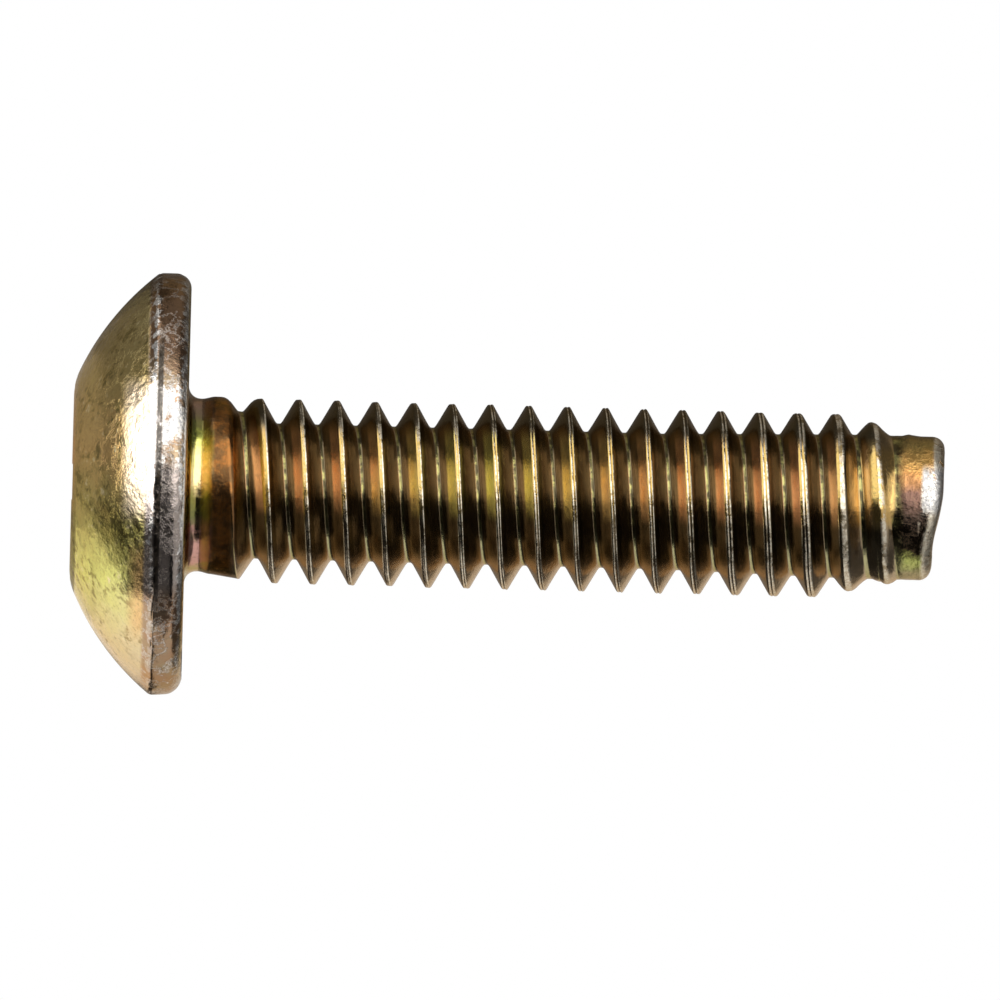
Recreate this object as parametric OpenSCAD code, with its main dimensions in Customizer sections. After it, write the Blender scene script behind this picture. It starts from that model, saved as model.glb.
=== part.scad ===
// Truss-head machine screw, 1/4-20 by 1 inch, cold headed and thread rolled in one piece.
// It stands on its crown: z = 0 is the flat of the crown and +Z runs up the shank to the point.
// All sizes are in millimetres.

/* [Head] */
// Diameter of the head over its rim
head_d = 13.96; // [12.5:0.02:16]
// Height of the head, from the flat of the crown to the bearing face
head_h = 3.8; // [3.4:0.05:4.6]
// Height of the rim, from the corner of the dome to the bearing face
rim_h = 1.05; // [0.9:0.05:1.4]
// Radius of the dome
dome_r = 8.9; // [8.4:0.1:9.6]
// Radius of the soft corner between the crown and the dome
crown_edge_r = 2; // [0.6:0.1:2.4]
// Radius of the corner between the dome and the rim
dome_edge_r = 0.3; // [0.1:0.05:0.4]
// Radius of the corner between the rim and the bearing face
bearing_edge_r = 0.5; // [0.2:0.05:0.55]

/* [Cross recess] */
// Diameter over the wings at the crown
recess_d = 6.4; // [5.6:0.1:7]
// Diameter over the wings at their foot
recess_foot_d = 3.81; // [3.4:0.01:4.4]
// Taper of the outer ends of the wings, in degrees
recess_taper = 26.5; // [24:0.5:30]
// Depth of the hollow cone below the foot of the wings
recess_cone_h = 0.58; // [0.3:0.02:0.7]
// Width of a wing at the crown
wing_top_w = 1.2; // [0.9:0.05:1.5]
// Width of a wing at its foot
wing_foot_w = 0.82; // [0.6:0.02:0.9]
// Diameter of the core between the wings at the crown
core_top_d = 3.5; // [2.8:0.1:3.8]
// Diameter of the core between the wings at its foot
core_foot_d = 2.4; // [2:0.1:2.8]

/* [Neck] */
// Diameter of the plain neck under the head
neck_d = 5.72; // [5.3:0.02:6]
// Length of the plain neck, from the bearing face to the first ridge
neck_l = 0.83; // [0.7:0.01:1.6]
// How far the first ridge of the thread stands out from the neck
ridge_h = 0.08; // [0.06:0.01:0.2]
// Radius of the fillet between the bearing face and the neck
neck_fillet_r = 0.4; // [0.2:0.05:0.6]

/* [Thread] */
// Length under the head, from the bearing face to the long side of the point
length = 25.05; // [18:0.05:40]
// Major diameter, over the crests
thread_d = 6.1; // [5.9:0.02:6.35]
// Pitch of the single right-hand start
pitch = 1.27; // [1.1:0.01:1.4]
// Angle between the two flanks, in degrees
flank_angle = 60; // [55:1:62]
// Width of the flat along the crest of a full thread
crest_flat = 0.16; // [0.1:0.01:0.22]
// Width of the flat along the root
root_flat = 0.18; // [0.12:0.01:0.24]
// Length over which the root runs out towards the neck
runout_l = 1.1; // [0.9:0.1:3]
// Length at the far end over which the thread grows shallow
shallow_l = 9.4; // [5:0.1:12]
// How far the shank's axis lies off the head's, towards the low side of the point
shank_offset = 0.14; // [0:0.01:0.2]

/* [Point] */
// Diameter of the plain point
point_d = 4.76; // [4.5:0.02:5]
// Length of the plain point, on its long side
point_l = 1; // [0.95:0.05:2]
// Length of the point and the falling crests of the first threads
lead_l = 3.15; // [2.8:0.05:4.4]
// How much sooner the crests fall away on the low side of the point
lead_skew = 0.7; // [0:0.05:1]
// How far the flanks lean out under the falling crests, as a multiple of a full thread's
lead_spread = 1.7; // [1:0.05:2]
// Radius of the corner of the point
point_edge_r = 0.42; // [0.2:0.02:0.5]
// How much shorter the sheared end is on its low side
point_drop = 0.33; // [0:0.01:0.4]
// Where the bend in the sheared end starts, from the axis towards the low side
bend_start = -0.6; // [-1.2:0.1:0]
// Length of that bend across the end
bend_l = 2.1; // [1:0.1:2.8]
// Depth of the hollow that the shear leaves in the end
point_hollow = 0.12; // [0:0.02:0.3]

/* [Hidden] */
plating = [0.73, 0.58, 0.30];
$fn = 96;

head_r = head_d / 2;
neck_r = neck_d / 2;
thread_r = thread_d / 2;
point_r = point_d / 2;

// The dome is a sphere that meets the rim's cylinder at the height of the rim
dome_z = head_h - rim_h + sqrt(dome_r ^ 2 - head_r ^ 2);

// Depth of a full thread, which its pitch, flats and flanks settle between them
flank_run = tan(flank_angle / 2);
thread_depth = (pitch - crest_flat - root_flat) / (2 * flank_run);
root_r = thread_r - thread_depth;

// Depth of the recess to the foot of its wings, and to the tip of its hollow cone
recess_foot_z = (recess_d - recess_foot_d) / (2 * tan(recess_taper));
recess_z = recess_foot_z + recess_cone_h;
cut_past = 0.2;

// Steps round the thread, and how deep its first ridge reaches into the neck
steps = 40;
seat = 0.15;
ridge_r = neck_r + ridge_h;

// Steps along an arc of the head, round the corner of the point, and from there to its middle
arc_steps = 8;
point_steps = 4;
end_steps = 3;

// Points of an arc about a centre, from one angle to another
function arc(centre, r, from, to) =
    [for (i = [0 : arc_steps])
        let (a = from + (to - from) * i / arc_steps)
        centre + r * [cos(a), sin(a)]];

// Half outline of the head and neck: radius across, height up
function head_outline() =
    let (
        crown_z = crown_edge_r - dome_z,
        crown_x = sqrt((dome_r - crown_edge_r) ^ 2 - crown_z ^ 2),
        crown_a = atan2(crown_z, crown_x),
        edge_x = head_r - dome_edge_r,
        edge_z = -sqrt((dome_r - dome_edge_r) ^ 2 - edge_x ^ 2),
        edge_a = atan2(edge_z, edge_x),
        neck_top = head_h + neck_l + ridge_h / 2
    )
    concat(
        [[0, 0]],
        arc([crown_x, crown_edge_r], crown_edge_r, -90, crown_a),
        [for (i = [1 : arc_steps - 1])
            let (a = crown_a + (edge_a - crown_a) * i / arc_steps)
            [dome_r * cos(a), dome_z + dome_r * sin(a)]],
        arc([edge_x, dome_z + edge_z], dome_edge_r, edge_a, 0),
        arc([head_r - bearing_edge_r, head_h - bearing_edge_r], bearing_edge_r, 0, 90),
        arc([neck_r + neck_fillet_r, head_h + neck_fillet_r], neck_fillet_r, 270, 180),
        [[neck_r, neck_top], [0, neck_top]]
    );

// One wing pair of the cross, with drafted sides
module wing_pair() {
    rotate([90, 0, 90])
        linear_extrude(height = recess_d + 2 * cut_past, center = true)
            polygon([
                [-wing_top_w / 2, -cut_past], [wing_top_w / 2, -cut_past],
                [wing_foot_w / 2, recess_z], [-wing_foot_w / 2, recess_z]
            ]);
}

// The cross recess, as the punch that forms it
module cross_recess() {
    mouth_r = recess_d / 2 + cut_past * tan(recess_taper);
    intersection() {
        rotate_extrude()
            polygon([
                [0, -cut_past], [mouth_r, -cut_past],
                [recess_foot_d / 2, recess_foot_z], [0, recess_z]
            ]);
        union() {
            wing_pair();
            rotate(90) wing_pair();
            translate([0, 0, -cut_past])
                cylinder(h = recess_z + cut_past, d1 = core_top_d, d2 = core_foot_d);
        }
    }
}

module head() {
    difference() {
        rotate_extrude() polygon(head_outline());
        cross_recess();
    }
}

// Radius of the crests and of the root at a distance from the bearing face. The crests rise from
// the first ridge, and fall away to the point sooner on its low side, at angle 0
function rising_crest_at(s) =
    lookup(s, [[groove_start, ridge_r], [groove_start + pitch, thread_r]]);
function crest_at(s, angle) = min(
    rising_crest_at(s),
    lookup(s + lead_skew * (1 + cos(angle)) / 2, [
        [length - lead_l, thread_r], [length - point_l, point_r]
    ])
);
function root_at(s) = lookup(s, [
    [groove_start, ridge_r], [groove_start + runout_l, root_r],
    [length - shallow_l, root_r], [length - lead_l, point_r]
]);

// Length of a flank along the screw, from a groove to a ridge beside it. Where the crests fall
// away the flanks lean out, so the ridges grow low and stay narrow on top
function flank_l(groove_s, ridge_s, angle) =
    let (
        crest = max(crest_at(groove_s, angle), crest_at(ridge_s, angle)),
        full_depth = rising_crest_at(groove_s) - root_at(groove_s),
        fallen_depth = crest - root_at(groove_s)
    )
    flank_run * max(0, min(full_depth, lead_spread * fallen_depth));

// The head, neck and first ridge share one axis, and the shank moves off it over its first turn
function axis_at(s) = lookup(s, [[groove_start, 0], [groove_start + pitch, shank_offset]]);

// The groove's middle climbs from the first ridge by one pitch a turn, until it is lost in the point
groove_start = neck_l + ridge_h + root_flat;
groove_steps = ceil((length - point_l - groove_start) / pitch * steps);

function turned(angle, r, s) = [axis_at(s) + r * cos(angle), r * sin(angle), head_h + s];

// The four edges of the groove at one step: crest, root, root, crest
function groove_edges(i) =
    let (
        angle = 360 * i / steps,
        s = groove_start + pitch * i / steps,
        half_root = root_flat / 2,
        before = s - half_root - flank_l(s, s - pitch / 2, angle),
        after = s + half_root + flank_l(s, s + pitch / 2, angle)
    )
    [
        turned(angle, crest_at(before, angle), before),
        turned(angle, root_at(s), s - half_root),
        turned(angle, root_at(s), s + half_root),
        turned(angle, crest_at(after, angle), after)
    ];

// A level ring of points, which starts at the angle of the groove's first or last step
function ring(first, r, s) =
    [for (j = [0 : steps - 1]) turned(360 * (first + j) / steps, r, s)];

// How far the sheared end has dropped at a distance across it: square on the long side, then a bend
function drop_at(across) =
    let (share = min(1, max(0, (across - bend_start) / bend_l)))
    point_drop * share ^ 2 * (3 - 2 * share);

// A ring of the sheared point, which is shorter on the low side, at angle 0
function sheared_ring(first, r, below) =
    [for (j = [0 : steps - 1])
        let (a = 360 * (first + j) / steps)
        turned(a, r, length - below - drop_at(r * cos(a)))];

// The threaded shank and its point as one closed skin. Points come in this order: the rings of
// the first ridge, the groove's edges, the rings of the point, and the two centres of the ends.
module threaded_shank() {
    last = groove_steps;
    end_r = point_r - point_edge_r;
    ridge_rings = [
        ring(0, neck_r - seat, neck_l - seat),
        ring(0, ridge_r, neck_l + ridge_h)
    ];
    first_edge = steps * len(ridge_rings);
    first_point = first_edge + 4 * (last + 1);
    point_rings = concat(
        [ring(last + 1, point_r, length - point_l + root_flat)],
        [for (k = [0 : point_steps])
            let (a = 90 * k / point_steps)
            sheared_ring(last + 1, end_r + point_edge_r * cos(a), point_edge_r * (1 - sin(a)))],
        [for (k = [1 : end_steps - 1])
            let (share = k / end_steps)
            sheared_ring(last + 1, end_r * (1 - share), point_hollow * share)]
    );
    centre_a = first_point + steps * len(point_rings);
    centre_b = centre_a + 1;

    points = concat(
        [for (r = ridge_rings) each r],
        [for (i = [0 : last]) each groove_edges(i)],
        [for (r = point_rings) each r],
        [turned(0, 0, neck_l - seat), turned(0, 0, length - point_hollow - drop_at(0))]
    );

    function base(ring_no, j) = steps * ring_no + j % steps;
    function edge(i, k) = first_edge + 4 * i + k;
    function tip(ring_no, j) = first_point + steps * ring_no + j % steps;

    faces = concat(
        // the end in the neck, and the first ridge up to the first turn of the groove
        [for (j = [0 : steps - 1]) [centre_a, base(0, j), base(0, j + 1)]],
        [for (j = [0 : steps - 1])
            each quad(base(0, j), base(0, j + 1), base(1, j + 1), base(1, j))],
        [for (j = [0 : steps - 2])
            each quad(base(1, j), base(1, j + 1), edge(j + 1, 0), edge(j, 0))],
        fan(edge(steps - 1, 0), [
            base(1, steps - 1), base(1, 0),
            edge(0, 0), edge(0, 1), edge(0, 2), edge(0, 3), edge(steps, 0)
        ]),
        // the groove, and the crest between one turn and the next
        [for (i = [0 : last - 1], k = [0 : 2])
            each quad(edge(i, k), edge(i + 1, k), edge(i + 1, k + 1), edge(i, k + 1))],
        [for (i = [0 : last - steps - 1])
            each quad(edge(i, 3), edge(i + 1, 3), edge(i + 1 + steps, 0), edge(i + steps, 0))],
        // the plain stretch from the last turn to the point, and the end of the point
        [for (j = [0 : steps - 2])
            let (i = last - steps + 1 + j)
            each quad(edge(i, 3), edge(i + 1, 3), tip(0, j + 1), tip(0, j))],
        fan(tip(0, 0), [
            tip(0, steps - 1), edge(last, 3), edge(last, 2), edge(last, 1), edge(last, 0),
            edge(last - steps, 3), edge(last - steps + 1, 3)
        ]),
        [for (n = [0 : len(point_rings) - 2], j = [0 : steps - 1])
            each quad(tip(n, j), tip(n, j + 1), tip(n + 1, j + 1), tip(n + 1, j))],
        [for (j = [0 : steps - 1])
            let (n = len(point_rings) - 1)
            [centre_b, tip(n, j + 1), tip(n, j)]]
    );
    polyhedron(points, faces, convexity = 20);
}

// Triangles of a four-sided patch, and of a patch seen from one of its corners
function quad(a, b, c, d) = [[a, c, b], [a, d, c]];
function fan(corner, others) =
    [for (i = [0 : len(others) - 2]) [corner, others[i + 1], others[i]]];

module screw() {
    color(plating) {
        head();
        threaded_shank();
    }
}

screw();
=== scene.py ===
import math

import bmesh
import bpy
from mathutils import Matrix, Vector, noise


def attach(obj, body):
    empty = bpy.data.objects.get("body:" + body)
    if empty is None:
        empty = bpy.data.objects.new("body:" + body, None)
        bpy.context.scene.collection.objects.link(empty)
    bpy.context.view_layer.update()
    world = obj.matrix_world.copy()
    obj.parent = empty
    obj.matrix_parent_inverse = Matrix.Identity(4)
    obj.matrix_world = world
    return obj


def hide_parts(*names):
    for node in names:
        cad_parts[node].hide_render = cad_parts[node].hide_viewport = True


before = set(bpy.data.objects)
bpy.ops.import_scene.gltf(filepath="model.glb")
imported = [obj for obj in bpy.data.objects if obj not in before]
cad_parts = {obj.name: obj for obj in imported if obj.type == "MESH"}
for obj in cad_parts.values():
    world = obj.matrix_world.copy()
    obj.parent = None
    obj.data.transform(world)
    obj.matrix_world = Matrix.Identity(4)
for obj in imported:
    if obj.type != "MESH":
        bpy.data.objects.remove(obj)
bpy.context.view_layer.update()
scene = bpy.context.scene
scene.view_settings.view_transform = "Standard"
mm = 0.001


# Camera: the photograph looks square on to the screw, its axis nearly level and its point a touch low.
# The screw stands on its head here, so the camera is turned on its side: right is up the shank.
photo_width = 33.08 * mm
camera_distance = 0.4
axis_droop = math.radians(1.52)
aim = Vector((0.23 * mm, 0, 14.18 * mm))
image_right = Vector((-math.sin(axis_droop), 0, math.cos(axis_droop)))
image_up = Vector((-math.cos(axis_droop), 0, -math.sin(axis_droop)))
camera_back = image_right.cross(image_up)
camera_data = bpy.data.cameras.new("camera")
camera_data.type = "ORTHO"
camera_data.ortho_scale = photo_width
camera = bpy.data.objects.new("camera", camera_data)
camera_place = aim + camera_back * camera_distance
camera.matrix_world = Matrix((
    (image_right.x, image_up.x, camera_back.x, camera_place.x),
    (image_right.y, image_up.y, camera_back.y, camera_place.y),
    (image_right.z, image_up.z, camera_back.z, camera_place.z),
    (0, 0, 0, 1),
))
scene.collection.objects.link(camera)
scene.camera = camera


# Table: a plain pale sheet under the screw, which stands on the flat of its crown.
# It glows a little to the camera and in the metal, and still takes the screw's shadow.
def new_material(name):
    material = bpy.data.materials.new(name)
    material.use_nodes = True
    material.node_tree.nodes.clear()
    return material, material.node_tree.nodes, material.node_tree.links


def seen_directly(nodes, links):
    """One for the rays that show a backdrop: from the camera, off metal and through glass."""
    rays = nodes.new("ShaderNodeLightPath")
    metal_or_glass = nodes.new("ShaderNodeMath")
    metal_or_glass.operation = "MAXIMUM"
    links.new(rays.outputs["Is Glossy Ray"], metal_or_glass.inputs[0])
    links.new(rays.outputs["Is Transmission Ray"], metal_or_glass.inputs[1])
    any_of_them = nodes.new("ShaderNodeMath")
    any_of_them.operation = "MAXIMUM"
    links.new(rays.outputs["Is Camera Ray"], any_of_them.inputs[0])
    links.new(metal_or_glass.outputs[0], any_of_them.inputs[1])
    return any_of_them.outputs[0]


bpy.ops.object.select_all(action="DESELECT")
bpy.ops.mesh.primitive_plane_add(size=2)
table = bpy.context.object
table.name = "table"
table_paint, nodes, links = new_material("table_paint")
table_shader = nodes.new("ShaderNodeBsdfPrincipled")
table_shader.inputs["Base Color"].default_value = (0.8, 0.8, 0.8, 1)
table_shader.inputs["Roughness"].default_value = 0.7
table_glow = nodes.new("ShaderNodeMapRange")
table_glow.inputs["To Max"].default_value = 0.35
links.new(seen_directly(nodes, links), table_glow.inputs["Value"])
table_shader.inputs["Emission Color"].default_value = (1, 1, 1, 1)
links.new(table_glow.outputs["Result"], table_shader.inputs["Emission Strength"])
table_out = nodes.new("ShaderNodeOutputMaterial")
links.new(table_shader.outputs[0], table_out.inputs["Surface"])
table.data.materials.append(table_paint)


# Light: a white room, one soft box on the upper front, and cards that show only in reflections.
# Angles round the screw start at the camera's side and turn towards the picture's top.
room = bpy.data.worlds.new("room")
scene.world = room
room.use_nodes = True
nodes = room.node_tree.nodes
links = room.node_tree.links
nodes.clear()
room_light = nodes.new("ShaderNodeBackground")
room_light.inputs["Color"].default_value = (1, 1, 1, 1)
room_level = nodes.new("ShaderNodeMapRange")
room_level.inputs["To Min"].default_value = 0.5
room_level.inputs["To Max"].default_value = 1.0
links.new(seen_directly(nodes, links), room_level.inputs["Value"])
links.new(room_level.outputs["Result"], room_light.inputs["Strength"])
room_out = nodes.new("ShaderNodeOutputWorld")
links.new(room_light.outputs[0], room_out.inputs["Surface"])

soft_box_turn = math.radians(28)
soft_box_distance = 0.25
soft_box_height = 0.12
soft_box_level = 1.6
soft_box_data = bpy.data.lights.new("soft_box", "AREA")
soft_box_data.shape = "RECTANGLE"
soft_box_data.size = 0.42
soft_box_data.size_y = 0.26
soft_box_data.energy = soft_box_level * math.pi * soft_box_data.size * soft_box_data.size_y
soft_box = bpy.data.objects.new("soft_box", soft_box_data)
to_screw = Vector((math.sin(soft_box_turn), math.cos(soft_box_turn), 0))
soft_box.location = Vector((0, 0, soft_box_height)) - to_screw * soft_box_distance
soft_box.rotation_euler = to_screw.to_track_quat("-Z", "Z").to_euler()
soft_box.visible_camera = False
scene.collection.objects.link(soft_box)

card_sides = 180


def raise_rings(outline, axis_x=0.0):
    """Extrudes the selected ring of edges up a half outline of radius and height."""
    for (radius, height), (next_radius, next_height) in zip(outline, outline[1:]):
        bpy.ops.mesh.extrude_edges_move(TRANSFORM_OT_translate={"value": (0, 0, next_height - height)})
        share = next_radius / radius
        bpy.ops.transform.resize(value=(share, share, 1), center_override=(axis_x, 0, next_height))


def light_card(name, first, last, near, far, level):
    """A card bent round the screw from one angle to another, between two radii and heights."""
    bpy.ops.object.select_all(action="DESELECT")
    bpy.ops.mesh.primitive_circle_add(vertices=card_sides, radius=near[0], location=(0, 0, near[1]))
    card = bpy.context.object
    card.name = name
    bpy.ops.object.transform_apply(location=True, rotation=True, scale=True)
    bpy.ops.object.mode_set(mode="EDIT")
    raise_rings([near, far])
    bpy.ops.mesh.select_mode(type="FACE")
    bpy.ops.mesh.select_all(action="DESELECT")
    sheet = bmesh.from_edit_mesh(card.data)
    for face in sheet.faces:
        middle = face.calc_center_median()
        turn = math.degrees(math.atan2(-middle.x, -middle.y))
        if (turn - first) % 360 > last - first:
            face.select_set(True)
    bmesh.update_edit_mesh(card.data)
    bpy.ops.mesh.delete(type="FACE")
    bpy.ops.object.mode_set(mode="OBJECT")
    paint, nodes, links = new_material(name + "_paint")
    card_light = nodes.new("ShaderNodeEmission")
    card_light.inputs["Strength"].default_value = level
    card_out = nodes.new("ShaderNodeOutputMaterial")
    links.new(card_light.outputs[0], card_out.inputs["Surface"])
    card.data.materials.append(paint)
    card.visible_camera = False
    card.visible_diffuse = False
    card.visible_shadow = False


# Upright cards round the screw, and the roof over them
wall_foot = (0.3, 0.0)
wall_top = (0.3, 0.15)
roof_top = (0.01, 0.4)
light_card("dark_front", -80, -6, wall_foot, wall_top, 0.01)
light_card("grey_upper", 66, 150, wall_foot, wall_top, 0.34)
light_card("dark_back", 150, 182, wall_foot, wall_top, 0.16)
light_card("grey_lower", 182, 258, wall_foot, wall_top, 0.85)
light_card("pale_lower", 258, 280, wall_foot, wall_top, 0.9)
light_card("grey_roof", 66, 280, wall_top, roof_top, 0.1)
light_card("pale_roof", 280, 354, wall_top, roof_top, 0.6)
light_card("dark_strip", -64, 13, (12 * mm, 2.4 * mm), (12 * mm, 3.9 * mm), 0.12)

# Cards on the table, which the dome and the shoulders of the thread show, each a little above
# those it covers
light_card("grey_under", -180, 180, (3.4 * mm, 0.04 * mm), (300 * mm, 0.04 * mm), 0.28)
light_card("dark_under", -72, 6, (9.5 * mm, 0.1 * mm), (300 * mm, 0.1 * mm), 0.02)
light_card("dark_low", -150, -72, (16.5 * mm, 0.1 * mm), (300 * mm, 0.1 * mm), 0.05)
light_card("dark_high", 90, 180, (9.5 * mm, 0.1 * mm), (300 * mm, 0.1 * mm), 0.1)
light_card("grey_near", -180, 180, (3.4 * mm, 0.06 * mm), (4.7 * mm, 0.06 * mm), 0.5)
light_card("dark_gap", -50, -8, (4.6 * mm, 0.12 * mm), (9.4 * mm, 0.12 * mm), 0.1)
for first, near, far, level in [
        (-9, 3.3, 4.1, 0.7), (-16, 4.1, 4.5, 0.9), (-22, 4.5, 4.9, 1.1), (-29, 4.9, 5.4, 1.3),
        (-37, 5.4, 6.1, 1.3), (-46, 6.1, 16, 1.3)]:
    light_card("pale_under", -146, first, (near * mm, 0.15 * mm), (far * mm, 0.15 * mm), level)
light_card("pale_inner", -146, -24, (3.3 * mm, 0.18 * mm), (4.5 * mm, 0.18 * mm), 1.2)
light_card("white_under", -2, 30, (6.2 * mm, 0.15 * mm), (8.8 * mm, 0.15 * mm), 4.5)
light_card("white_edge", -10, 40, (7.0 * mm, 0.2 * mm), (8.8 * mm, 0.2 * mm), 4.5)
light_card("white_front", 6, 90, (9.5 * mm, 0.1 * mm), (100 * mm, 0.1 * mm), 1.3)


# Head: a broad dome on a tall rim, upset cold from the wire, so every edge is soft.
# The crown is flat and holds a pressed cross recess; the face towards the shank is flat too.
head_r = 6.98 * mm
head_h = 3.8 * mm
rim_h = 1.05 * mm
dome_r = 8.9 * mm
crown_edge_r = 2 * mm
dome_edge_r = 0.3 * mm
bearing_edge_r = 0.5 * mm
neck_r = 2.86 * mm
neck_l = 0.83 * mm
neck_fillet_r = 0.4 * mm
ridge_h = 0.08 * mm


def arc(centre, radius, first, last, steps):
    """Points of an arc in the half outline, angles in degrees."""
    points = []
    for step in range(steps + 1):
        turn = math.radians(first + (last - first) * step / steps)
        points.append((centre[0] + radius * math.cos(turn), centre[1] + radius * math.sin(turn)))
    return points


def turned(outline, sides):
    """A solid turned about the Z axis from a half outline, closed at both ends."""
    radius, height = outline[0]
    bpy.ops.object.select_all(action="DESELECT")
    bpy.ops.mesh.primitive_circle_add(
        vertices=sides, radius=radius, fill_type="NGON", location=(0, 0, height))
    solid = bpy.context.object
    bpy.ops.object.transform_apply(location=True, rotation=True, scale=True)
    bpy.ops.object.mode_set(mode="EDIT")
    bpy.ops.mesh.select_mode(type="EDGE")
    raise_rings(outline)
    bpy.ops.mesh.edge_face_add()
    bpy.ops.mesh.select_all(action="SELECT")
    bpy.ops.mesh.normals_make_consistent(inside=False)
    bpy.ops.object.mode_set(mode="OBJECT")
    return solid


dome_z = head_h - rim_h + math.sqrt(dome_r ** 2 - head_r ** 2)
crown_z = crown_edge_r - dome_z
crown_x = math.sqrt((dome_r - crown_edge_r) ** 2 - crown_z ** 2)
crown_turn = math.degrees(math.atan2(crown_z, crown_x))
edge_x = head_r - dome_edge_r
edge_z = -math.sqrt((dome_r - dome_edge_r) ** 2 - edge_x ** 2)
edge_turn = math.degrees(math.atan2(edge_z, edge_x))
neck_top = head_h + neck_l + ridge_h / 2
bearing_corner = (head_r - bearing_edge_r, head_h - bearing_edge_r)
fillet_centre = (neck_r + neck_fillet_r, head_h + neck_fillet_r)

# Extra rings keep the shading of the crown and the bearing face even, and carry the rim's nicks
crown_margin = 0.12 * mm
rim_rows = (head_h - 0.78 * mm, head_h - 0.64 * mm)
bearing_rings = (6.2 * mm, 5.6 * mm, 4.9 * mm, 4.2 * mm, 3.6 * mm)
head_sides = 192
head_outline = (
    [(crown_x - crown_margin, 0)]
    + arc((crown_x, crown_edge_r), crown_edge_r, -90, crown_turn, 10)
    + arc((0, dome_z), dome_r, crown_turn, edge_turn, 30)[1:]
    + arc((edge_x, dome_z + edge_z), dome_edge_r, edge_turn, 0, 8)[1:]
    + [(head_r, height) for height in rim_rows]
    + arc(bearing_corner, bearing_edge_r, 0, 90, 12)
    + [(radius, head_h) for radius in bearing_rings]
    + arc(fillet_centre, neck_fillet_r, 270, 180, 10)
    + [(neck_r, neck_top)]
)
head = turned(head_outline, head_sides)

# The rim is nicked all round, and its corner towards the shank is worn down on the low side
nick_depth = 0.05 * mm
nicks_per_metre = 1800
fine_nicks_per_metre = 4000
fine_nick_share = 0.4
worn_depth = 0.12 * mm
worn_from = head_r * 0.4
worn_span = head_r * 0.5
for vertex in head.data.vertices:
    outward = Vector((vertex.co.x, vertex.co.y, 0))
    if outward.length > head_r - bearing_edge_r and vertex.co.z > head_h - rim_h:
        coarse_nick = noise.noise(vertex.co * nicks_per_metre)
        fine_nick = noise.noise(vertex.co * fine_nicks_per_metre)
        nick = nick_depth * max(0, coarse_nick + fine_nick_share * fine_nick)
        near_corner = (vertex.co.z - head_h + rim_h) / rim_h
        low_side = min(max((vertex.co.x - worn_from) / worn_span, 0), 1)
        inward = nick + worn_depth * low_side * near_corner ** 2
        vertex.co -= outward.normalized() * inward

# Recess: the punch's four wings stay within a cone with a pointed end, and a round core joins them
recess_mouth_r = 3.2 * mm
recess_foot_r = 1.905 * mm
recess_slope = math.tan(math.radians(26.5))
recess_foot_z = (recess_mouth_r - recess_foot_r) / recess_slope
recess_tip_l = 0.58 * mm
recess_tip_r = 0.02 * mm
recess_z = recess_foot_z + recess_tip_l
wing_top_w = 1.2 * mm
wing_foot_w = 0.82 * mm
core_top_r = 1.75 * mm
core_foot_r = 1.2 * mm
cut_past = 0.2 * mm
core_sides = 64
cone_sides = 96


def cut_with(body, cutter, operation):
    """Applies one boolean of the cutter to the body and removes the cutter."""
    bpy.ops.object.select_all(action="DESELECT")
    bpy.context.view_layer.objects.active = body
    body.select_set(True)
    cut = body.modifiers.new("cut", "BOOLEAN")
    cut.operation = operation
    cut.solver = "EXACT"
    cut.object = cutter
    bpy.ops.object.modifier_apply(modifier=cut.name)
    cutter_mesh = cutter.data
    bpy.data.objects.remove(cutter)
    bpy.data.meshes.remove(cutter_mesh)


def recess_wing(angle):
    """One pair of wings, drafted from the mouth of the recess to its foot."""
    bpy.ops.object.select_all(action="DESELECT")
    bpy.ops.mesh.primitive_plane_add(size=1, location=(0, 0, -cut_past))
    wing = bpy.context.object
    bpy.ops.object.mode_set(mode="EDIT")
    bpy.ops.transform.resize(value=(2 * recess_mouth_r + 2 * cut_past, wing_top_w, 1))
    bpy.ops.mesh.extrude_region_move(TRANSFORM_OT_translate={"value": (0, 0, recess_z + cut_past)})
    bpy.ops.transform.resize(value=(1, wing_foot_w / wing_top_w, 1))
    bpy.ops.mesh.select_all(action="SELECT")
    bpy.ops.mesh.normals_make_consistent(inside=False)
    bpy.ops.object.mode_set(mode="OBJECT")
    wing.rotation_euler.z = angle
    bpy.ops.object.transform_apply(location=True, rotation=True, scale=True)
    return wing


bpy.ops.object.select_all(action="DESELECT")
bpy.ops.mesh.primitive_cone_add(
    vertices=core_sides, radius1=core_top_r, radius2=core_foot_r, depth=recess_z + cut_past,
    location=(0, 0, (recess_z - cut_past) / 2))
punch = bpy.context.object
bpy.ops.object.transform_apply(location=True, rotation=True, scale=True)
cut_with(punch, recess_wing(0), "UNION")
cut_with(punch, recess_wing(math.pi / 2), "UNION")
punch_outline = [
    (recess_mouth_r + cut_past * recess_slope, -cut_past),
    (recess_foot_r, recess_foot_z),
    (recess_tip_r, recess_z),
]
cut_with(punch, turned(punch_outline, cone_sides), "INTERSECT")
cut_with(head, punch, "DIFFERENCE")


# Shank: a coarse right-hand thread rolled between dies, which leaves a lapped seam along the crests.
# It runs out in the neck, grows shallow towards the point, and ends in a blunt sheared stub.
length = 25.05 * mm
thread_r = 3.05 * mm
pitch = 1.27 * mm
flank_run = math.tan(math.radians(30))
root_flat = 0.18 * mm
crest_flat = 0.16 * mm
root_r = thread_r - (pitch - root_flat - crest_flat) / (2 * flank_run)
ridge_r = neck_r + ridge_h
first_level = neck_l + ridge_h
groove_start = first_level + root_flat
runout_l = 1.1 * mm
shallow_l = 9.4 * mm
shank_offset = 0.14 * mm
lead_l = 3.15 * mm
lead_skew = 0.7 * mm
lead_spread = 1.7
ridge_rounding = 0.7
point_l = 1 * mm
point_r = 2.38 * mm
point_edge_r = 0.42 * mm
point_drop = 0.33 * mm
bend_start = -0.6 * mm
bend_l = 2.1 * mm
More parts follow.
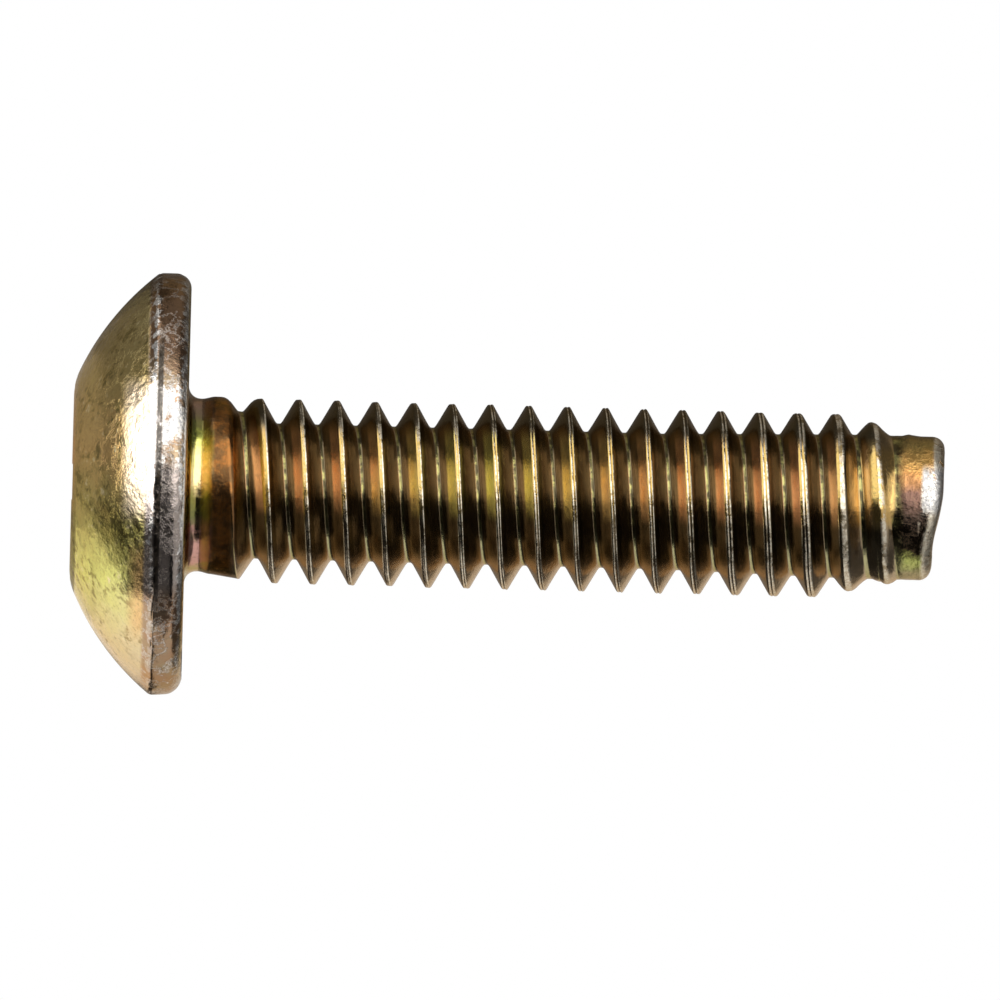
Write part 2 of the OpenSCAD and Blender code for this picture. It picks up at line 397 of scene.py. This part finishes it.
last_level = length - point_l + root_flat
steps = 112
weld = 0.002 * mm
dents = [(900, 0.02 * mm), (3500, 0.012 * mm)]

# Rows of the rolled strip from the middle of the root to the middle of the crest: the shares of
# the root flat, flank and crest flat below the row, its height on the flank that faces the point,
# its height on the flank that faces the head, which is a touch rounder, and its share of the lap
half_profile = [
    (0.0, 0.0, 0.0, 0.0, 0.0, 0.0),
    (0.5, 0.0, 0.0, 0.002, 0.002, 0.0),
    (0.95, 0.0, 0.0, 0.022, 0.022, 0.0),
    (1.0, 0.12, 0.0, 0.115, 0.115, 0.0),
    (1.0, 0.4, 0.0, 0.39, 0.395, 0.0),
    (1.0, 0.7, 0.0, 0.695, 0.7, 0.0),
    (1.0, 0.88, 0.0, 0.88, 0.88, 0.0),
    (1.0, 0.97, 0.0, 0.965, 0.963, 0.0),
    (1.0, 1.0, 0.0, 0.985, 0.98, 0.0),
    (1.0, 1.0, 0.35, 1.0, 0.99, 0.0),
    (1.0, 1.0, 0.7, 1.0, 0.995, 0.3),
    (1.0, 1.0, 1.0, 1.0, 1.0, 1.0),
]
half_rows = len(half_profile) - 1
profile = half_profile[:0:-1] + half_profile


def level_between(along, marks):
    """Straight-line reading of a list of distance and value."""
    for (start, value), (end, next_value) in zip(marks, marks[1:]):
        if along <= end:
            share = max(0.0, (along - start) / (end - start))
            return value + (next_value - value) * share
    return marks[-1][1]


def rising_crest_at(along):
    return level_between(along, [(groove_start, ridge_r), (groove_start + pitch, thread_r)])


def crest_at(along, turn):
    still_to_fall = level_between(along, [(length - lead_l, 1), (length - point_l, 0)])
    skewed = along + still_to_fall * lead_skew * (1 + math.cos(turn)) / 2
    falling = level_between(skewed, [(length - lead_l, thread_r), (length - point_l, point_r)])
    return min(rising_crest_at(along), falling)


def root_at(along):
    return level_between(along, [
        (groove_start, ridge_r), (groove_start + runout_l, root_r),
        (length - shallow_l, root_r), (length - lead_l, point_r)])


def flank_at(groove, ridge, turn):
    """Length of a flank from a groove to a ridge; under the falling crests the flanks lean out."""
    crest = max(crest_at(groove, turn), crest_at(ridge, turn))
    full_depth = rising_crest_at(groove) - root_at(groove)
    fallen_depth = crest - root_at(groove)
    return flank_run * max(0.0, min(full_depth, lead_spread * fallen_depth))


def lap_at(along):
    return level_between(along, [
        (8 * mm, 0.005 * mm), (12 * mm, 0.03 * mm), (21 * mm, 0.035 * mm), (23 * mm, 0)])


def axis_at(along):
    return level_between(along, [(groove_start, 0), (groove_start + pitch, shank_offset)])


# The grid is wound into the thread: its short side is the profile, its long side runs up the helix
groove_steps = math.ceil((length - point_l - groove_start) / pitch * steps)
bpy.ops.object.select_all(action="DESELECT")
bpy.ops.mesh.primitive_grid_add(x_subdivisions=2 * half_rows, y_subdivisions=groove_steps, size=1)
shank = bpy.context.object
for number, vertex in enumerate(shank.data.vertices):
    step, row = divmod(number, len(profile))
    flat_share, flank_share, crest_share, point_height, head_height, lap = profile[row]
    along = groove_start + pitch * step / steps
    turn = 2 * math.pi * step / steps
    faces_head = row >= half_rows
    side = 1 if faces_head else -1
    flank = flank_at(along, along + side * pitch / 2, turn)
    crest = pitch / 2 - root_flat / 2 - flank
    across = root_flat / 2 * flat_share + flank * flank_share + crest * crest_share
    height = head_height if faces_head else point_height
    here = min(max(along + side * across, first_level), last_level)
    rounding = ridge_rounding * (crest - crest_flat / 2) * (1 - crest_share) ** 2
    top = max(crest_at(here, turn) - rounding, root_at(along))
    radius = root_at(along) + (top - root_at(along)) * height - lap_at(here) * lap
    outward = Vector((math.cos(turn), math.sin(turn), 0))
    place = outward * radius + Vector((axis_at(here), 0, head_h + here))
    dent = sum(noise.noise(place * per_metre) * depth for per_metre, depth in dents)
    vertex.co = place + outward * dent * height

bpy.ops.object.mode_set(mode="EDIT")
bpy.ops.mesh.select_all(action="SELECT")
bpy.ops.mesh.remove_doubles(threshold=weld)


def select_open_end(low, high):
    """Selects the open edges whose height lies between two levels."""
    bpy.ops.mesh.select_mode(type="EDGE")
    bpy.ops.mesh.select_all(action="DESELECT")
    skin = bmesh.from_edit_mesh(shank.data)
    for edge in skin.edges:
        middle = (edge.verts[0].co.z + edge.verts[1].co.z) / 2
        if edge.is_boundary and low < middle < high:
            edge.select_set(True)
    bmesh.update_edit_mesh(shank.data)


def level_off(radius, height, axis_x):
    """Extrudes the selected open end to a level ring."""
    bpy.ops.mesh.extrude_edges_move(TRANSFORM_OT_translate={"value": (0, 0, 0)})
    skin = bmesh.from_edit_mesh(shank.data)
    for vertex in skin.verts:
        if vertex.select:
            outward = Vector((vertex.co.x - axis_x, vertex.co.y, 0)).normalized()
            vertex.co = outward * radius + Vector((axis_x, 0, height))
    bmesh.update_edit_mesh(shank.data)
    bpy.ops.mesh.remove_doubles(threshold=weld)


# The end by the head is led down onto the neck, and the end by the point is drawn out to the stub
clear = 0.01 * mm
select_open_end(0, head_h + length / 2)
ridge_rise_l = 0.45 * mm
sink_r = 0.15 * mm
sink_l = 0.05 * mm
rise_steps = 8
neck_outline = []
for step in range(rise_steps + 1):
    share = (1 + math.cos(math.pi * step / rise_steps)) / 2
    neck_outline.append((
        neck_r + ridge_h * share,
        head_h + first_level - clear - ridge_rise_l * step / rise_steps))
neck_outline.append((neck_r - sink_r, neck_outline[-1][1] - sink_l))
level_off(*neck_outline[0], 0)
raise_rings(neck_outline)
bpy.ops.mesh.edge_face_add()
select_open_end(head_h + length / 2, 1)
end_r = point_r - point_edge_r
end_hollow = 0.12 * mm
end_rings = (0.85, 0.65, 0.4, 0.15)
point_band = 0.15 * mm
point_outline = (
    [(point_r, head_h + last_level + clear), (point_r, head_h + last_level + point_band)]
    + arc((end_r, head_h + length - point_edge_r), point_edge_r, 0, 90, 8)
    + [(end_r * share, head_h + length - end_hollow * (1 - share)) for share in end_rings]
)
level_off(*point_outline[0], shank_offset)
raise_rings(point_outline, shank_offset)
bpy.ops.mesh.edge_face_add()
bpy.ops.mesh.select_all(action="SELECT")
bpy.ops.mesh.normals_make_consistent(inside=False)
bpy.ops.object.mode_set(mode="OBJECT")

# The shear leaves the end square on its long side, bent back on the low side, and a little torn
torn_depth = 0.06 * mm
tears_per_metre = 700
shear_curve = 1.5
for vertex in shank.data.vertices:
    share = (vertex.co.z - head_h - last_level) / (length - point_edge_r - last_level)
    share = min(max(share, 0), 1)
    bend = min(max((vertex.co.x - shank_offset - bend_start) / bend_l, 0), 1)
    drop = point_drop * bend ** 2 * (3 - 2 * bend)
    torn = abs(noise.noise(vertex.co * tears_per_metre)) * torn_depth
    vertex.co.z -= (drop + torn) * share ** shear_curve


# Finish: zinc plate under an iridescent yellow passivation, worn to bright zinc on crests and edges.
# The film is dark brown in the grooves; on the thread's shoulders it is yellow to green only in the band
# where the highlight falls, a painted highlight.
plate, nodes, links = new_material("yellow_zinc")


def feed(socket, source):
    """Links a socket to an output, or sets it to a plain value."""
    if isinstance(source, bpy.types.NodeSocket):
        links.new(source, socket)
    else:
        socket.default_value = source


def reckon(operation, first, second=0.0):
    step = nodes.new("ShaderNodeMath")
    step.operation = operation
    feed(step.inputs[0], first)
    feed(step.inputs[1], second)
    return step.outputs[0]


def between(value, low, high):
    """Zero up to one level, one from the other on, and soft in between."""
    step = nodes.new("ShaderNodeMapRange")
    step.interpolation_type = "SMOOTHSTEP"
    feed(step.inputs["Value"], value)
    step.inputs["From Min"].default_value = low
    step.inputs["From Max"].default_value = high
    return step.outputs["Result"]


def grain(vector, per_mm, detail=4.0, roughness=0.55):
    """Noise with a number of lumps in a millimetre."""
    step = nodes.new("ShaderNodeTexNoise")
    links.new(vector, step.inputs["Vector"])
    step.inputs["Scale"].default_value = per_mm
    step.inputs["Detail"].default_value = detail
    step.inputs["Roughness"].default_value = roughness
    return step.outputs["Fac"]


def blend(share, first, second):
    """Mix of two colours, which the node takes at sockets 6 and 7 and gives at socket 2."""
    step = nodes.new("ShaderNodeMix")
    step.data_type = "RGBA"
    feed(step.inputs["Factor"], share)
    feed(step.inputs[6], first)
    feed(step.inputs[7], second)
    return step.outputs[2]


def tints(value, marks):
    """Colours along a value, each at its own mark."""
    low = marks[0][0]
    span = marks[-1][0] - low
    step = nodes.new("ShaderNodeValToRGB")
    feed(step.inputs[0], reckon("DIVIDE", reckon("SUBTRACT", value, low), span))
    stops = step.color_ramp.elements
    while len(stops) < len(marks):
        stops.new(1.0)
    for stop, (mark, colour) in zip(stops, marks):
        stop.position = (mark - low) / span
        stop.color = (*colour, 1)
    return step.outputs["Color"]


# Places on the screw in millimetres, its radii about both axes, and the way its faces look
coordinates = nodes.new("ShaderNodeTexCoord")
in_mm = nodes.new("ShaderNodeVectorMath")
in_mm.operation = "SCALE"
links.new(coordinates.outputs["Object"], in_mm.inputs[0])
in_mm.inputs["Scale"].default_value = 1 / mm
place = in_mm.outputs["Vector"]
split = nodes.new("ShaderNodeSeparateXYZ")
links.new(place, split.inputs[0])
x, y, z = split.outputs
slant = nodes.new("ShaderNodeSeparateXYZ")
links.new(coordinates.outputs["Normal"], slant.inputs[0])
upward = slant.outputs["Z"]


def radius_about(axis_x):
    across = reckon("SUBTRACT", x, axis_x)
    return reckon("SQRT", reckon("ADD", reckon("MULTIPLY", across, across), reckon("MULTIPLY", y, y)))


head_radius = radius_about(0.0)
shank_radius = radius_about(shank_offset / mm)
coarse = grain(place, 0.35, 2.0)
patches = grain(place, 0.9, 4.0, 0.6)
mottle = grain(place, 2.6, 5.0, 0.65)
fine = grain(place, 9.0, 3.0, 0.6)

# Levels and radii in millimetres, from which the places of the film and the wear are measured
head_top = head_h / mm
rim_foot = (head_h - rim_h) / mm
end_top = (head_h + length) / mm
rim_at = head_r / mm
crest_top = thread_r / mm
on_head = between(z, head_top + 0.15, head_top - 0.05)
on_rim = reckon("MULTIPLY", on_head, between(head_radius, rim_at - 0.32, rim_at - 0.18))
on_thread = between(z, head_top + 0.6, head_top + 0.95)
on_point = between(z, end_top - 1.65, end_top - 1.25)
head_side = between(upward, -0.06, -0.3)
point_side = between(upward, 0.1, 0.4)
level_part = reckon("SUBTRACT", 1.0, reckon("MAXIMUM", head_side, point_side))
fallen = reckon("MULTIPLY", between(z, end_top - 3.55, end_top - 2.05), 0.18)
crest_radius = reckon("ADD", shank_radius, fallen)
past_ridge = between(z, head_top + 1.6, head_top + 2.1)
at_crest = reckon("MULTIPLY", past_ridge, between(crest_radius, crest_top - 0.39, crest_top - 0.29))
crest_face = reckon("MULTIPLY", between(upward, -0.14, 0.02), between(upward, 0.66, 0.46))
crest_line = reckon("MULTIPLY", crest_face, at_crest)
root_line = reckon("MULTIPLY", level_part, reckon("SUBTRACT", 1.0, at_crest))
# Painted highlight: the band along the screw where the soft box's highlight falls, which alone gets the
# bright film and the gold on the shoulders
highlight_band = reckon("MULTIPLY", between(x, -2.2, -1.5), between(x, 1.0, 0.5))
upper_part = between(crest_radius, crest_top - 0.55, crest_top - 0.41)
upper_flank = reckon("MULTIPLY", between(upward, 0.0, -0.2), upper_part)
painted_shoulder_highlight = reckon("MULTIPLY", highlight_band, upper_flank)
# Painted light and shade: the flank that faces the point is paler at its foot and darker at its top
point_flank_foot_light = reckon("MULTIPLY", point_side, between(shank_radius, crest_top - 0.21, crest_top - 0.31))
point_flank_top_shade = reckon("MULTIPLY", point_side, between(shank_radius, crest_top - 0.29, crest_top - 0.19))
shoulder_face = reckon("MULTIPLY", between(upward, -0.78, -0.6), between(upward, 0.2, 0.0))
shoulder = reckon("MULTIPLY", at_crest, shoulder_face)
painted_shoulder_glint = reckon("MULTIPLY", highlight_band, shoulder)

orange = (0.95, 0.6, 0.34)
gold = (0.95, 0.72, 0.38)
yellow = (0.97, 0.87, 0.36)
green = (0.84, 0.88, 0.33)
rust = (0.84, 0.5, 0.3)
pink = (0.62, 0.34, 0.28)
red_brown = (0.38, 0.23, 0.14)
grey = (0.58, 0.56, 0.54)
zinc = (0.86, 0.82, 0.76)

# Thread: dark brown in the grooves, bright film and gold on the shoulders only in the band of painted
# highlight, specked yellow-green in the roots
drifting = reckon("ADD", z, reckon("MULTIPLY", reckon("SUBTRACT", coarse, 0.5), 5.0))
bright_film = tints(drifting, [
    (4.6, rust), (6.0, orange), (9.5, orange), (11.6, yellow), (13.8, green), (16.0, yellow),
    (18.0, gold), (20.5, orange), (24.0, rust), (26.5, gold), (28.9, gold)])
flank_film = blend(between(patches, 0.4, 0.65), (0.23, 0.175, 0.105, 1), (0.2, 0.165, 0.105, 1))
foot_film = blend(point_flank_foot_light, flank_film, (0.37, 0.28, 0.18, 1))
top_film = blend(point_flank_top_shade, foot_film, (0.13, 0.1, 0.06, 1))
# Painted light: the thread's film is paler on the low side of the picture
low_side_light_film = blend(between(x, 2.0, 2.6), top_film, (0.58, 0.46, 0.33, 1))
# Painted highlight: gold on the last ridges, only in the highlight band
painted_end_highlight = reckon("MULTIPLY", highlight_band, between(z, end_top - 3.15, end_top - 2.55))
dull_film = blend(painted_end_highlight, low_side_light_film, (0.62, 0.4, 0.14, 1))
root_specks = blend(between(mottle, 0.42, 0.62), (0.1, 0.08, 0.04, 1), (0.36, 0.32, 0.12, 1))
# Painted highlight: the roots are paler on the low side of the picture, for their glints there
root_film_and_glint = blend(between(x, 1.0, 1.7), root_specks, (0.46, 0.42, 0.22, 1))
groove_film = blend(root_line, dull_film, root_film_and_glint)
bright_thread = blend(painted_shoulder_highlight, groove_film, bright_film)
thread_film = blend(painted_shoulder_glint, bright_thread, (0.8, 0.55, 0.18, 1))
ridge_film = blend(between(mottle, 0.4, 0.6), (0.16, 0.08, 0.03, 1), (0.3, 0.125, 0.035, 1))
threaded_film = blend(between(z, head_top + 1.8, head_top + 1.4), thread_film, ridge_film)
# Painted highlight and shade: the point's tints run down the picture, bright gold at the top of the
# highlight and dark below it, among the film's own colours
across_point = reckon("ADD", x, reckon("MULTIPLY", reckon("SUBTRACT", patches, 0.5), 1.2))
point_film_and_light = tints(across_point, [
    (-2.3, (0.26, 0.19, 0.08)), (-1.8, (0.42, 0.29, 0.1)), (-1.35, (0.8, 0.46, 0.14)),
    (-0.9, (0.66, 0.32, 0.11)), (-0.35, (0.2, 0.11, 0.08)), (0.5, (0.12, 0.08, 0.06)),
    (1.5, (0.1, 0.07, 0.04)), (1.75, (0.46, 0.48, 0.14)), (2.4, (0.42, 0.36, 0.2))])
shank_film = blend(on_point, threaded_film, point_film_and_light)

# Neck: a band of yellow and green, pink and brown away from it; the yellow lies where the soft box's
# highlight falls, a painted highlight
leaning = reckon("ADD", x, reckon("MULTIPLY", reckon("SUBTRACT", patches, 0.5), 2.4))
neck_film_and_highlight = tints(leaning, [
    (-2.8, (0.4, 0.26, 0.2)), (-2.0, (0.34, 0.27, 0.13)), (-1.3, (0.44, 0.46, 0.1)),
    (-0.6, (0.84, 0.68, 0.26)), (0.1, (0.76, 0.56, 0.27)), (0.6, (0.4, 0.36, 0.1)),
    (1.1, (0.26, 0.26, 0.1)), (1.6, pink), (2.4, pink), (2.8, (0.5, 0.4, 0.2))])

# Dome: olive at the top of the picture, brown in the middle, yellow-green and pink below, beaten in
# patches, with lighter and darker marks painted on as glints and dark reflections off the beaten facets
dome_base = tints(leaning, [
    (-7.0, (0.44, 0.38, 0.19)), (-3.5, (0.5, 0.38, 0.16)), (-1.0, (0.62, 0.41, 0.17)),
    (1.5, (0.46, 0.4, 0.13)), (3.2, (0.64, 0.62, 0.2)), (5.0, (0.66, 0.56, 0.32)),
    (7.0, (0.54, 0.43, 0.35))])
beaten_marks = grain(place, 3.2, 5.0, 0.65)
where_beaten = between(patches, 0.42, 0.6)
dark_reflection_marks = reckon("MULTIPLY", between(beaten_marks, 0.52, 0.4), reckon("MULTIPLY", where_beaten, 0.75))
painted_glint_marks = reckon("MULTIPLY", between(beaten_marks, 0.58, 0.68), reckon("MULTIPLY", where_beaten, 0.8))
dome_dark = blend(dark_reflection_marks, dome_base, (0.17, 0.14, 0.05, 1))
dome_marked = blend(painted_glint_marks, dome_dark, (0.8, 0.68, 0.4, 1))
# Painted highlight: the dome is paled near the rim in a band across the middle of the picture, where the
# highlight falls
from_middle = reckon("ABSOLUTE", reckon("ADD", x, 1.1))
near_rim = between(head_radius, rim_at - 1.18, rim_at - 0.68)
painted_dome_highlight = reckon("MULTIPLY", near_rim, between(from_middle, 2.6, 1.8))
dome_with_highlight = blend(reckon("MULTIPLY", painted_dome_highlight, 0.8), dome_marked, (0.86, 0.7, 0.52, 1))
low_edge = reckon("MULTIPLY", between(x, 1.6, 2.8), between(x, 5.6, 4.4))
warm_edge = reckon("MULTIPLY", low_edge, between(head_radius, rim_at - 0.88, rim_at - 0.38))
dome_film = blend(reckon("MULTIPLY", warm_edge, 0.8), dome_with_highlight, (0.72, 0.44, 0.2, 1))

# Rim: red-brown, darker at the top of the picture as painted shade, with a dark line of painted shade
# under the dome's edge beside the highlights
calm = reckon("MULTIPLY", reckon("MULTIPLY", between(x, -0.9, -0.4), between(x, 4.0, 3.2)), 0.85)
rim_base = blend(between(patches, 0.35, 0.7), (*red_brown, 1), (0.36, 0.27, 0.17, 1))
from_edge = reckon("ABSOLUTE", reckon("SUBTRACT", z, rim_foot + 0.11))
# Painted shade: a broken dark line under the dome's edge, only beside the highlights
beside_light = reckon("MULTIPLY", between(x, -5.6, -4.2), between(x, 4.6, 3.2))
broken_shade_line = reckon("MULTIPLY", between(from_edge, 0.12, 0.06), between(mottle, 0.7, 0.55))
edge_shade_line = reckon("MULTIPLY", broken_shade_line, beside_light)
rim_shaded = blend(between(x, -3.6, -4.6), rim_base, (0.27, 0.165, 0.1, 1))
rim_greyed = blend(calm, rim_shaded, (0.42, 0.37, 0.34, 1))
rim_film = blend(edge_shade_line, rim_greyed, (0.08, 0.065, 0.05, 1))
head_film = blend(on_rim, dome_film, rim_film)
film = blend(on_head, blend(on_thread, neck_film_and_highlight, shank_film), head_film)

# Wear: bare zinc on the crests and the end's corner, broken lines on the corners of the rim, veins and
# scuffs round it; the scuffs are thickest where the rim's highlight falls, and the end's corner is barest
# where its highlight falls, real wear placed as painted highlights
ragged = reckon("MULTIPLY", reckon("SUBTRACT", mottle, 0.5), 0.9)
from_dome_edge = reckon("ABSOLUTE", reckon("SUBTRACT", z, rim_foot - 0.07))
dome_edge_gap = reckon("ADD", from_dome_edge, ragged)
high_edge = reckon("ADD", 0.25, reckon("MULTIPLY", between(x, 3.8, 2.6), 0.75))
on_dome_edge = between(head_radius, rim_at - 0.53, rim_at - 0.33)
dome_edge = reckon("MULTIPLY", between(dome_edge_gap, 0.07, 0.0), on_dome_edge)
dome_edge_wear = reckon("MULTIPLY", dome_edge, high_edge)
on_bearing_edge = between(reckon("ADD", z, ragged), head_top - 0.26, head_top - 0.12)
bearing_wear = reckon("MULTIPLY", on_bearing_edge, on_rim)
wander = grain(place, 1.0, 6.0, 0.68)
veins = between(reckon("ABSOLUTE", reckon("SUBTRACT", wander, 0.5)), 0.026, 0.008)
# Painted highlight: the scuffs are made thicker where the rim's highlight falls
highlight_scuffs = reckon("MULTIPLY", between(reckon("ABSOLUTE", reckon("ADD", x, 2.0)), 2.2, 0.8), 0.24)
scuffed = between(reckon("ADD", grain(place, 1.3, 6.0, 0.72), highlight_scuffs), 0.66, 0.72)
scratched = reckon("MAXIMUM", reckon("MULTIPLY", veins, 0.45), scuffed)
scuffs = reckon("MULTIPLY", on_rim, reckon("MULTIPLY", scratched, reckon("SUBTRACT", 1.0, calm)))
worn_head = reckon("MAXIMUM", reckon("MAXIMUM", dome_edge_wear, bearing_wear), scuffs)
off_line = reckon("SUBTRACT", 1.0, reckon("MULTIPLY", edge_shade_line, 0.85))
head_wear = reckon("MULTIPLY", worn_head, off_line)
crest_wear = reckon("MULTIPLY", crest_line, between(mottle, 0.34, 0.55))
end_edge = reckon("MULTIPLY", between(z, end_top - 0.95, end_top - 0.55), between(upward, 0.05, 0.3))
# Painted highlight: more bare zinc on the end's corner in the band where the highlight falls
glint_height = reckon("MULTIPLY", between(x, 0.5, 0.1), between(x, -1.4, -1.0))
end_corner_glint = reckon("MULTIPLY", between(z, end_top - 0.8, end_top - 0.65), glint_height)
end_corner = reckon("MAXIMUM", end_edge, end_corner_glint)
end_wear = reckon("MULTIPLY", end_corner, between(mottle, 0.3, 0.44))
shank_wear = reckon("MAXIMUM", crest_wear, end_wear)
wear = reckon("MAXIMUM", reckon("MULTIPLY", head_wear, on_head), shank_wear)
head_bare = blend(between(fine, 0.42, 0.58), (*grey, 1), (*zinc, 1))
shank_bare = blend(between(fine, 0.4, 0.6), (0.6, 0.5, 0.36, 1), (0.88, 0.8, 0.64, 1))
bare = blend(reckon("MAXIMUM", on_head, end_corner_glint), shank_bare, head_bare)
colour = blend(wear, film, bare)
speckled = blend(reckon("MULTIPLY", between(fine, 0.54, 0.74), 0.35), colour, (0.16, 0.12, 0.06, 1))

# Surface: the film is smooth with fine grain, bare zinc is duller, and the dome and the point
# are beaten
film_roughness = reckon("ADD", 0.07, reckon("MULTIPLY", mottle, 0.12))
rolled_roughness = reckon("ADD", film_roughness, reckon("MULTIPLY", on_thread, 0.06))
roughness = reckon("ADD", rolled_roughness, reckon("MULTIPLY", wear, 0.12))
lumps = reckon("ADD", reckon("MULTIPLY", beaten_marks, 0.8), reckon("MULTIPLY", patches, 1.3))
pits = reckon("ADD", lumps, reckon("MULTIPLY", fine, 0.07))
scored = reckon("SUBTRACT", pits, reckon("MULTIPLY", veins, 0.12))
on_dome = reckon("SUBTRACT", on_head, reckon("MULTIPLY", on_rim, 0.6))
beaten_above = reckon("ADD", 0.3, reckon("MULTIPLY", between(x, 3.4, 1.6), 0.7))
beaten_part = reckon("MULTIPLY", on_dome, beaten_above)
how_beaten = reckon("ADD", reckon("ADD", 0.2, beaten_part), reckon("MULTIPLY", on_point, 0.6))
bump = nodes.new("ShaderNodeBump")
bump.inputs["Strength"].default_value = 0.8
bump.inputs["Distance"].default_value = 0.08 * mm
links.new(reckon("MULTIPLY", scored, how_beaten), bump.inputs["Height"])

metal = nodes.new("ShaderNodeBsdfPrincipled")
metal.inputs["Metallic"].default_value = 1.0
metal.inputs["Specular Tint"].default_value = (0.78, 0.63, 0.46, 1)
links.new(speckled, metal.inputs["Base Color"])
links.new(roughness, metal.inputs["Roughness"])
links.new(bump.outputs["Normal"], metal.inputs["Normal"])
metal_out = nodes.new("ShaderNodeOutputMaterial")
links.new(metal.outputs[0], metal_out.inputs["Surface"])

bpy.ops.object.select_all(action="DESELECT")
shank.select_set(True)
head.select_set(True)
bpy.context.view_layer.objects.active = head
bpy.ops.object.join()
screw = bpy.context.object
screw.name = "screw_body"
screw.data.materials.clear()
screw.data.materials.append(plate)
sharpest_smooth = math.radians(35)
bpy.ops.object.shade_smooth_by_angle(angle=sharpest_smooth)
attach(screw, "root")
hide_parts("screw")
